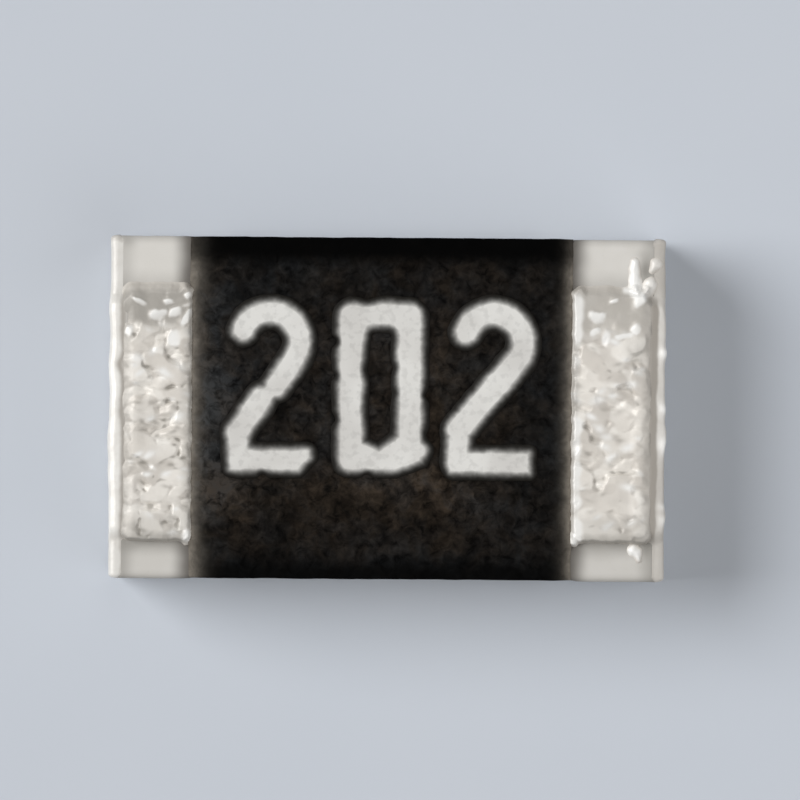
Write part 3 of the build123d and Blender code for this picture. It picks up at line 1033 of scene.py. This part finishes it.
class CHIP_OT_value_digits(bpy.types.Operator):
    """Print the plain value digits on the overcoat"""

    bl_idname = "chip.value_digits"
    bl_label = "Value Digits"
    bl_options = {"REGISTER", "UNDO"}

    def execute(self, context):
        looks = context.scene.chip_looks
        ink, seed = looks.ink, looks.seed
        material = ink_finish(ink)
        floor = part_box("overcoat")[1].z - looks.overcoat.headroom - 3 * UM

        def surface(x, y, inside, used):
            """Resin height plus ink that thickens from nothing along a quarter circle."""
            share = np.clip(inside / ink.fade, 0.0, 1.0)
            film = ink.thickness * np.sqrt(1 - (1 - share) ** 2) ** 1.5
            film = film * (1 + 0.08 * lattice_noise(x, y, 60 * UM, seed + 81))
            return overcoat_height(x, y, looks.overcoat, seed) + film, {"cover": share}

        for number, (name, (_, window, _)) in enumerate(DIGITS.items()):
            start, end = (edge * MM for edge in window)
            columns, rows = round((end - start) / ink.cell), round(DIGIT_ROOM * MM / ink.cell)
            x, y = np.meshgrid(
                start + ink.cell * np.arange(columns), DIGIT_LOW * MM + ink.cell * np.arange(rows)
            )
            wander = ink.ragged * cloud_noise(x, y, 38 * UM, seed + 71 + number, 3)
            depth = digit_depth(name, x, y, ink.stroke / 2) + ink.run + wander
            add_piece(f"ink_{name}", masked_slab(x, y, depth, surface, floor), material)
        return {"FINISHED"}


# ---------------------------------------------------------------- terminals

# The wrap's path: across the groove, over the strip, down the end, under the chip and up to the
# ceramic. Steps to the next row, |x|, height in the middle, height near the long edges, and |x|
# and height on the ceramic. Places along the path are counted in rows, so 0 to 3 is the groove,
# 3 to 9 the strip, 10 and 11 the end face, and 16 and 17 the solder face.
WRAP_PATH = [
    (3, 0.9260, 0.4752, 0.4440, 0.926, 0.436), (3, 0.9370, 0.4757, 0.4462, 0.937, 0.437),
    (3, 0.9470, 0.4750, 0.4480, 0.944, 0.438), (3, 0.9560, 0.4740, 0.4492, 0.949, 0.438),
    (3, 0.9640, 0.4740, 0.4503, 0.953, 0.437), (3, 0.9725, 0.4748, 0.4505, 0.958, 0.434),
    (3, 0.9815, 0.4740, 0.4485, 0.963, 0.428), (3, 0.9880, 0.4685, 0.4440, 0.966, 0.424),
    (5, 0.9925, 0.4565, 0.4380, 0.969, 0.420), (12, 0.9952, 0.4370, 0.4260, 0.970, 0.412),
    (30, 0.9958, 0.3600, 0.3600, 0.970, 0.360), (8, 0.9958, 0.1000, 0.1000, 0.970, 0.100),
    (4, 0.9945, 0.0380, 0.0380, 0.970, 0.056), (4, 0.9860, 0.0220, 0.0220, 0.968, 0.046),
    (4, 0.9740, 0.0120, 0.0150, 0.961, 0.042), (4, 0.9560, 0.0060, 0.0140, 0.951, 0.042),
    (26, 0.9420, 0.0020, 0.0140, 0.942, 0.042), (4, 0.6000, 0.0020, 0.0140, 0.600, 0.042),
    (4, 0.5780, 0.0040, 0.0140, 0.582, 0.042), (4, 0.5660, 0.0140, 0.0150, 0.572, 0.042),
    (4, 0.5580, 0.0240, 0.0240, 0.564, 0.042), (1, 0.5560, 0.0410, 0.0410, 0.560, 0.043),
]
LOW_END = 11.5  # past this the path lies at the foot of the end and underneath
# where along the path a crest that lies further out is moved, and by how much
CREST_SHIFT = ([0, 1, 2, 5, 6, 7, 8, 9], [0, 0.003, 0.007, 0.0085, 0.0078, 0.006, 0.0028, 0.0004])


def wrap_path():
    """Each step's place along the path, and the path's five lengths there, corners rounded.

    Each column is walked from row to row in even steps, and then averaged over five steps, with
    its ends held.
    """
    steps, *columns = zip(*WRAP_PATH)
    sections = np.concatenate([row + np.arange(count) / count for row, count in enumerate(steps)])
    walked = [np.interp(sections, np.arange(len(steps)), column) for column in columns]
    padded = MM * np.pad(walked, ((0, 0), (2, 2)), mode="edge")
    return sections, sum(padded[:, k : k + len(sections)] for k in range(5)) / 5


def wrap_skin(end, looks, seed):
    """Closed skin of the tin round one end: a path in the XZ plane carried along Y.

    At each y the path lies between a middle one and one for the zones by the long edges, with
    an s-curve between the zones. It is pushed out by noise and by named bumps on the strip. By
    the long edges it bends in to the ceramic along a quarter ellipse. Long faces along the
    ceramic and two flat rims close it.
    """
    sections, columns = wrap_path()
    travel = np.cumsum(np.append(0.0, np.hypot(*np.diff(columns[:2]))))[:, None]
    mid_x, mid_z, rim_z, inner_x, inner_z = columns[:, :, None]
    sections = sections[:, None]
    low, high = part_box(f"{end.name}_tin_plating")
    half_y = high.y - 0.5 * UM
    station = np.linspace(-1, 1, round(2 * half_y / (6 * UM)))
    y = half_y * np.sign(station) * (1 - (1 - np.abs(station)) ** 1.15)

    in_tab = within(y, -0.420 * MM, 0.350 * MM, 60 * UM, 10 * UM)
    back_low, back_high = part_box(f"{end.name}_back_conductor")
    in_back = within(y, back_low.y, back_high.y, 34 * UM, 16 * UM)
    underneath = sections > LOW_END
    share = np.where(underneath, in_back, in_tab)
    x = mid_x + MM * end.crest_out * np.interp(sections, *CREST_SHIFT)
    z = mid_z * share + rim_z * (1 - share) + end.crest_up * peak(sections, 7.6, 0.8)

    wave = looks.strip_wander * cloud_noise(y, 0, 90 * UM, seed + 91 + end.side, 3)
    notch = 5 * UM * cloud_noise(y, 0, 50 * UM, seed + 95 + end.side, 3) + MM * bell_row(y, end.notches)
    lift = 1.5 * UM * cloud_noise(y, 0, 90 * UM, seed + 101 + end.side, 3)
    bumps, white = MM * bell_row(y, end.bumps), bell_row(y, end.knobs)
    near_top = span(sections, 11.2, 9.8) * span(sections, 3.2, 6.0)
    x = x + near_top * np.clip(wave + 0.75 * bumps - end.strip_inset, -6.4 * UM, 4.0 * UM)
    x = x + 0.6 * peak(sections, 4.2, 1.1) * np.clip(notch, -6 * UM, 10 * UM)
    on_knobs = peak(sections, 6.2, 2.0)
    z = z + peak(sections, 5.2, 1.3) * (lift + 0.2 * bumps) + on_knobs * 4 * UM * white
    z = z - end.crest_down * peak(sections, 6.0, 1.1) * in_tab
    grain = 0.9 * UM * cloud_noise(travel, y, 36 * UM, seed + 111, 3)
    x = x + grain * span(sections, 3.2, 5.5) * span(sections, 12.0, 10.3)
    z = z + grain * underneath * span(sections, 20.5, 19.0)

    to_edge = np.clip((half_y - np.abs(y)) / (15 * UM), 0.0, 1.0)
    fullness = np.sqrt(1 - (1 - to_edge) ** 2)
    x = np.minimum(inner_x + (x - inner_x) * fullness, max(end.side * low.x, end.side * high.x))
    z = np.maximum(inner_z + (z - inner_z) * fullness, 0.2 * UM)
    narrow = 7.5 * UM * span(sections, 5.5, 2.5) * span(np.abs(y), 0.54 * MM, 0.60 * MM)
    points = np.stack([end.side * x, y - np.sign(y) * narrow, z], axis=-1).reshape(-1, 3)
    numbers = np.arange(x.size).reshape(x.shape)
    back = np.stack([numbers[:-1, 0], numbers[1:, 0], numbers[1:, -1], numbers[:-1, -1]], axis=-1)
    rims = [numbers[0, ::-1].tolist(), numbers[-1].tolist()]
    faces = grid_faces(*x.shape).tolist() + back.tolist() + rims
    if end.side > 0:
        faces = [face[::-1] for face in faces]

    # the groove: partly duller tin, partly painted shade, stronger at the right end
    shift = x - notch - end.groove_shift
    groove = end.groove_least + (1 - end.groove_least) * span(shift, 0.922 * MM, 0.950 * MM)
    groove = end.groove_dull_and_shade * groove * span(shift, 0.968 * MM, 0.949 * MM)
    # painted shade in the corners, matched to the ceramic's
    by_corner = np.where(y > 0, end.corner_shade[1], end.corner_shade[0])
    at_ceramic = span(shift, 0.962 * MM, 0.944 * MM)
    corner_ledge = np.maximum(1.1 * by_corner * groove, (0.25 + 0.75 * by_corner) * at_ceramic)
    # painted shade: the strip darker at the upper tip, in its corners, and along the right end, which faces
    # away from the key light
    even, upper, lower = end.strip_shade
    strip_shade_share = even + np.maximum(upper * span(y, 0.34 * MM, 0.44 * MM), lower * span(y, -0.06 * MM, -0.24 * MM))
    tip = end.tip_shade * span(y, 0.583 * MM, 0.600 * MM)
    least = np.maximum.reduce([0.20 * (1 - in_tab), tip, strip_shade_share])
    ledge_and_shade = np.maximum(groove * in_tab + corner_ledge * (1 - in_tab), least) * ~underneath
    return points, faces, {"ledge_and_shade": ledge_and_shade, "bump": on_knobs * np.clip(white, 0.0, 1.0)}


def pad_body(end, x, y, looks, seed):
    """Depth inside the pad proper: a round-cornered rectangle with a wandering edge."""
    low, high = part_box(f"{end.name}_top_conductor")
    outward = end.side * x
    corner = (0.952 * MM, high.y + PLATING + 36 * UM)
    body = in_rounded_box(outward, y, (end.front, low.y - PLATING), corner, 38 * UM)
    wander = looks.outline_wander * cloud_noise(x, y, 36 * UM, seed + 121, 3)
    wander = wander + 0.8 * looks.outline_wander * lattice_noise(x, y, 110 * UM, seed + 125)
    at_front = span(outward, end.front + 30 * UM, end.front)
    ragged = np.maximum(end.front_wander * cloud_noise(x, y, 30 * UM, seed + 131, 3), end.front_least)
    return body + wander * (1 - at_front) + at_front * ragged


def pad_relief(end, x, y, looks, seed):
    """A pad's relief: plates and folds, pits and glints.

    Its points are first bent by soft noise, so that the plates' outlines curve. Large plates
    overlap small ones, on folds. Towards the upper end and the groove they die out, and single
    named flakes take over. It returns the height, the shares of tone, pit, glint and flake, and
    how sparse the plates are.
    """
    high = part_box(f"{end.name}_top_conductor")[1]
    bent_x = x + looks.flake_bend * cloud_noise(x, y, 50 * UM, seed + 143, 2)
    bent_y = y + looks.flake_bend * cloud_noise(x, y, 50 * UM, seed + 147, 2)
    ragged = 35 * UM * cloud_noise(x, y, 70 * UM, seed + 141, 2)
    full = span(y + ragged, high.y - 50 * UM, high.y - 150 * UM)
    sparse = 1 - full
    full = full * span(end.side * x + 0.5 * ragged, 0.950 * MM, 0.895 * MM)
    length, width, tilt = looks.flake_length, looks.flake_width, looks.flake_tilt
    large, own_large = plate_field(
        bent_x, bent_y, 1.1 * length, length, width, tilt, 1.1, seed + 151 + end.side
    )
    small, own_small = plate_field(
        bent_x, bent_y, 0.7 * length, 0.62 * length, 0.6 * width, 1.15 * tilt, 0.35, seed + 161 + end.side
    )
    small = small - 1 * UM
    own = np.where(small > large, own_small, own_large)
    folds = looks.fold_height * (ridge_noise(x, y, 60 * UM, seed + 171) - 0.45)
    pit = spot_field(bent_x, bent_y, 50 * UM, 17 * UM, 7 * UM, 0.50, seed + 175 + end.side) * full
    # glints: painted highlights
    glint = spot_field(bent_x, bent_y, 56 * UM, 20 * UM, 10 * UM, 0.46, seed + 177 + end.side) * full
    cloud = cloud_noise(x, y, 110 * UM, seed + 179, 2)
    height = 1.25 * np.maximum(large, small) + folds - 4 * UM * pit + 2.5 * UM * glint
    height = height * (0.25 + 0.75 * full)
    tone = (end.contrast * (own - end.own_middle) + 0.5 * cloud) * (0.3 + 0.7 * full)
    tone = 0.5 + tone - 0.30 * (1 - full)
    bright = np.zeros(x.shape)
    fringe = 0.35 * cloud_noise(x, y, 24 * UM, seed + 183, 3)
    # named flakes: raised, and whitened through the glint share as a painted highlight, brighter along one
    # side
    for spot_x, spot_y, half_length, half_width, degrees in end.flakes:
        along, across = turned(bent_x / MM - spot_x, bent_y / MM - spot_y, math.radians(degrees))
        along, across = along / half_length, across / half_width
        reach = (np.abs(along) ** 3 + np.abs(across) ** 3) ** (1 / 3) + fringe
        lit = 0.80 + 0.25 * np.clip(across - 0.6 * along, -1.0, 1.0)
        bright = np.maximum(bright, lit * (1 - span(reach, 0.60, 1.20)))
    return height + 6 * UM * bright, tone, pit, np.maximum(glint, 0.95 * bright), bright, sparse


# painted shade patches inside the pads: x, y, reach in x, reach in y, how dark
TIN_SHADE_PATCHES = [
    (-0.905, -0.435, 0.050, 0.045, 0.65), (-0.700, 0.215, 0.022, 0.040, 0.45),
    (-0.705, 0.085, 0.020, 0.030, 0.35), (0.900, 0.215, 0.040, 0.090, 0.45),
    (0.720, 0.395, 0.050, 0.030, 0.40),
]
# how much fatter the white front rim is: y, reach, amount
RIM_BEADS = [
    (0.365, 0.045, 0.8), (0.265, 0.030, 0.4), (0.170, 0.030, 0.4), (-0.047, 0.022, 0.5),
    (-0.217, 0.030, 0.2), (-0.325, 0.050, 0.45), (-0.435, 0.035, 0.65),
]
PAD_END = 0.985 * MM  # where the pads' grids end in |x|
PAD_LOW, PAD_ROOM = -0.56 * MM, 1.15 * MM  # where they start in y, and how high they are


def pad_skin(end, looks, seed):
    """Closed slab of one pad, as masked_slab makes it, with the relief of pad_relief on top.

    The outline is the pad proper joined to its crust by fillets. Height and tones are averaged
    with their neighbours. Painted shade darkens the creases, where the surface lies lower than its
    own smoother copy, and the pits. Crust covers its named strokes, and runs in beads along the
    front where the end has them; its share also carries the glints, which are painted highlights.
    The edge share is mostly painted shade along the outline and ends. The rim rounds up from the
    ceramic along a quarter sine, lower under crust that lies beside the pad.
    """
    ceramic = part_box("ceramic_tile")[1].z
    low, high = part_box(f"{end.name}_top_conductor")
    pad_top, front = high.z + PLATING, end.front
    columns, rows = round((PAD_END - end.grid_start) / looks.cell), round(PAD_ROOM / looks.cell)
    line_x = np.sort(end.side * (end.grid_start + looks.cell * np.arange(columns)))
    x, y = np.meshgrid(line_x, PAD_LOW + looks.cell * np.arange(rows))
    outward = end.side * x
    depth = pad_body(end, x, y, looks, seed)
    on_pad = span(depth, -8 * UM, 10 * UM)
    height, tone, pit, glint, bright, sparse = pad_relief(end, x, y, looks, seed + end.seed_step)

    crust = np.zeros(x.shape)
    outer_wander = 6 * UM * cloud_noise(x, y, 30 * UM, seed + 135, 3)
    ragged = 4 * UM * cloud_noise(x, y, 20 * UM, seed + 185, 2)
    for path, white in end.crust:
        stroke = in_tapered(x, y, path)
        depth = soft_union(depth, stroke + outer_wander, 4 * UM)
        crust = np.maximum(crust, white * span(stroke + ragged, -2 * UM, 14 * UM))
    beads = 0.5 + 0.5 * cloud_noise(y, 0, 60 * UM, seed + 181, 2) + bell_row(y, RIM_BEADS)
    beads = np.clip(beads, 0.0, 1.0)
    width = (15 + 27 * beads) * UM
    rim_line = span(outward, front + 1.25 * width, front + 0.75 * width) * span(y, 0.430 * MM, 0.395 * MM)
    rim_line = rim_line * span(depth + 0.6 * ragged, -2 * UM, 15 * UM)
    crust = np.maximum(crust, end.bead_crust * rim_line * span(beads, 0.18, 0.72))

    height = smooth_field(height + 3.5 * UM * crust * on_pad, end.passes)
    tone = smooth_field(tone * on_pad, end.passes)
    pit, glint, crust = (
        smooth_field(share, 1) for share in (end.pit_share * pit, np.clip(1.3 * glint, 0.0, 1.0), crust)
    )
    # painted shade: darker where the surface lies below its smoother copy, and in the pits
    hollow = smooth_field(height, 12) - height
    crease_shade = np.clip(0.75 * span(hollow, 0.8 * UM, 3.8 * UM) + 0.85 * pit, 0.0, 0.95)
    rise_to_tab = 4.5 * UM * span(outward, 0.860 * MM, 0.895 * MM)
    fall_to_groove = 11 * UM * span(outward, 0.900 * MM, 0.950 * MM)
    deepest = -5.5 * UM + 3 * UM * span(outward, 0.885 * MM, 0.910 * MM)
    level = np.clip(height, deepest, 8.5 * UM) + rise_to_tab - fall_to_groove * (1 - crust)
    wander = 8 * UM * cloud_noise(x, y, 30 * UM, seed + 191, 3)
    # edge share: painted shade along the outline, the front, the lower end and towards the groove, and in
    # the listed patches; also darker at the sparse upper end
    edge = np.maximum.reduce([
        0.80 * (1 - span(depth + wander, 2 * UM, 34 * UM)),
        end.front_edge * span(outward + wander, front + 58 * UM, front + 14 * UM),
        0.85 * span(y + wander, low.y + 52 * UM, low.y - 16 * UM),
        0.36 * span(y + 2 * wander, low.y + 110 * UM, low.y + 55 * UM),
        end.sparse_shade * sparse,
        np.clip(bells(x, y, TIN_SHADE_PATCHES) + 0.02 * wander / UM, 0.0, 0.7),
    ])
    edge = np.maximum.reduce([
        edge * (1 - end.top_lighter * span(y, 0.400 * MM, 0.440 * MM)),
        0.60 * span(outward + 1.5 * wander, 0.898 * MM, 0.942 * MM),
        0.40 * span(y + 2 * wander, high.y - 70 * UM, high.y + 5 * UM),
    ])
    fields = {
        "tone": np.clip(tone, 0.0, 1.0),
        "crease_shade": crease_shade * on_pad,
        # the crust share also carries the glints, painted highlights
        "crust": np.maximum(crust, glint),
        "edge": edge * (1 - crust) * (1 - np.clip(bright, 0.0, 1.0)) * on_pad,
    }

    def surface(px, py, inside, used):
        """Height that rises from the foot to the pad's level, or to low crust beside the pad."""
        out, own = end.side * px, on_pad.ravel()[used]
        gentle = span(py, 0.37 * MM, 0.41 * MM) * own * span(out, front + 22 * UM, front + 55 * UM)
        soft = end.front_soft * span(out, front + 40 * UM, front + 22 * UM) * (1 - gentle) + 29 * UM * gentle
        rim = np.clip(inside / (15 * UM + soft + 11 * UM * (1 - own)), 0.0, 1.0)
        rounding = np.sin(rim * math.pi / 2) * (1 - gentle) + s_curve(rim) * gentle
        tab_floor = span(out, 0.930 * MM, 0.945 * MM) * within(py, -0.44 * MM, 0.37 * MM, 30 * UM, 0)
        at_front = span(out, front + 50 * UM, front + 22 * UM)
        front_floor = at_front * span(py, 0.435 * MM, 0.415 * MM) * span(py, -0.487 * MM, -0.477 * MM)
        foot = ceramic - 1 * UM + np.maximum(18 * UM * tab_floor, 22 * UM * front_floor)
        low_crust = ceramic + 12 * UM + 12 * UM * at_front
        target = (pad_top - 0.6 * UM + level.ravel()[used]) * own + low_crust * (1 - own)
        shares = {key: values.ravel()[used] for key, values in fields.items()}
        return foot + (target - foot) * rounding, shares

    return masked_slab(x, y, depth, surface, ceramic - 5 * UM)


class CHIP_OT_terminals(bpy.types.Operator):
    """Plate both terminals: the wrap round each end and the flaky pad on top"""

    bl_idname = "chip.terminals"
    bl_label = "Terminals"
    bl_options = {"REGISTER", "UNDO"}

    def execute(self, context):
        looks = context.scene.chip_looks
        tin, seed = looks.terminal, looks.seed
        smooth_tin, flaky_tin = wrap_finish(tin), pad_finish(tin)
        for end in ENDS:
            node = f"{end.name}_tin_plating"
            add_piece(f"{end.name}_tin_wrap", wrap_skin(end, tin, seed), smooth_tin, node)
            add_piece(f"{end.name}_tin_pad", pad_skin(end, tin, seed), flaky_tin, node)
            dress(node, smooth_tin)
        return {"FINISHED"}


# ---------------------------------------------------------------- films inside

# light and dark screen values, roughness, metallic, and the grain's size and depth in micrometres
FILM_FINISHES = {
    "fired silver": ((222, 218, 210), (190, 184, 174), 0.38, 0.9, 9, 0.6),
    "sputtered edge film": ((150, 148, 144), (124, 122, 118), 0.3, 1.0, 6, 0.2),
    "plated nickel": ((196, 188, 172), (172, 164, 150), 0.34, 1.0, 7, 0.3),
    "resistor paste": ((38, 38, 41), (22, 22, 24), 0.32, 0.0, 11, 0.5),
    "trim glass": ((120, 138, 128), (98, 118, 108), 0.12, 0.0, 60, 0.4),
}
FILM_NODES = {
    "fired silver": [f"{end.name}_{place}_conductor" for end in ENDS for place in ("top", "back")],
    "sputtered edge film": [f"{end.name}_edge_film" for end in ENDS],
    "plated nickel": [f"{end.name}_nickel_barrier" for end in ENDS],
    "resistor paste": ["resistive_film"],
    "trim glass": ["trim_glass"],
}


class CHIP_OT_inner_films(bpy.types.Operator):
    """Give every film inside the chip its own finish"""

    bl_idname = "chip.inner_films"
    bl_label = "Inner Films"
    bl_options = {"REGISTER", "UNDO"}

    def execute(self, context):
        for name, look in FILM_FINISHES.items():
            material = film_finish(name, *look)
            for node in FILM_NODES[name]:
                dress(node, material)
        return {"FINISHED"}


# ---------------------------------------------------------------- stage


def add_sun(name, strength, softness, azimuth, elevation):
    """A soft light from a compass direction, anticlockwise from +X, and a height in degrees."""
    light = bpy.data.lights.new(name, "SUN")
    light.energy = strength
    light.angle = math.radians(softness)
    lamp = bpy.data.objects.new(name, light)
    lamp.rotation_euler = (0.0, math.radians(90 - elevation), math.radians(azimuth))
    bpy.context.scene.collection.objects.link(lamp)


class CHIP_OT_stage(bpy.types.Operator):
    """Lay the pale floor, light it softly and look straight down on the chip"""

    bl_idname = "chip.stage"
    bl_label = "Stage"
    bl_options = {"REGISTER", "UNDO"}

    def execute(self, context):
        looks = context.scene.chip_looks.stage
        half = looks.floor_span / 2
        corners = [(-half, -half, 0), (half, -half, 0), (half, half, 0), (-half, half, 0)]
        mesh = bpy.data.meshes.new("floor")
        mesh.from_pydata(corners, [], [(0, 1, 2, 3)])
        finish = Finish("pale floor", 0.7, 0.2)
        cloud = finish.ramp(finish.noise(1.5 * MM, 2.0), 0.3, 0.7, 0.0, 0.35)
        finish.drive("Base Color", finish.blend(cloud, looks.floor_colour, looks.floor_cloud))
        mesh.materials.append(finish.material)
        floor = bpy.data.objects.new("floor", mesh)
        context.scene.collection.objects.link(floor)

        world = bpy.data.worlds.new("studio")
        world.use_nodes = True
        sky = world.node_tree.nodes["Background"]
        sky.inputs["Color"].default_value = (1.0, 0.99, 0.975, 1.0)
        sky.inputs["Strength"].default_value = looks.sky
        context.scene.world = world
        add_sun("key", looks.key, 38, 162, 41)
        add_sun("fill", looks.fill, 60, -20, 46)

        chip_top = solid_box[1].z - 20 * UM
        camera_data = bpy.data.cameras.new("camera")
        camera_data.lens = looks.lens
        distance = looks.view_width * looks.lens / camera_data.sensor_width
        camera_data.clip_start = distance / 100
        camera_data.clip_end = 1.0
        camera = bpy.data.objects.new("camera", camera_data)
        camera.location = (*turned(*looks.view_shift, -looks.view_turn), chip_top + distance)
        camera.rotation_euler = (0.0, 0.0, looks.view_turn)
        context.scene.collection.objects.link(camera)
        context.scene.camera = camera
        context.scene.view_settings.view_transform = "Standard"
        return {"FINISHED"}


# ---------------------------------------------------------------- add-on


class CHIP_PT_looks(bpy.types.Panel):
    """Buttons and settings of the chip resistor's looks"""

    bl_label = "Chip Resistor"
    bl_idname = "CHIP_PT_looks"
    bl_space_type = "VIEW_3D"
    bl_region_type = "UI"
    bl_category = "Chip Resistor"

    def draw(self, context):
        looks = context.scene.chip_looks
        self.layout.prop(looks, "seed")
        for operator in OPERATORS:
            self.layout.operator(operator.bl_idname)
        for group in (looks.tile, looks.overcoat, looks.terminal, looks.ink, looks.stage):
            box = self.layout.box()
            for key in group.__annotations__:
                box.prop(group, key)


OPERATORS = (
    CHIP_OT_ceramic_tile,
    CHIP_OT_overcoat,
    CHIP_OT_value_digits,
    CHIP_OT_terminals,
    CHIP_OT_inner_films,
    CHIP_OT_stage,
)
SETTINGS = (TileLooks, OvercoatLooks, TerminalLooks, InkLooks, StageLooks, ChipLooks)
CLASSES = (*SETTINGS, *OPERATORS, CHIP_PT_looks)


def register():
    for item in CLASSES:
        bpy.utils.register_class(item)
    bpy.types.Scene.chip_looks = PointerProperty(type=ChipLooks)


def unregister():
    del bpy.types.Scene.chip_looks
    for item in reversed(CLASSES):
        bpy.utils.unregister_class(item)


def main():
    register()
    bpy.ops.chip.ceramic_tile()
    bpy.ops.chip.overcoat()
    bpy.ops.chip.value_digits()
    bpy.ops.chip.terminals()
    bpy.ops.chip.inner_films()
    bpy.ops.chip.stage()


if __name__ == "__main__":
    main()
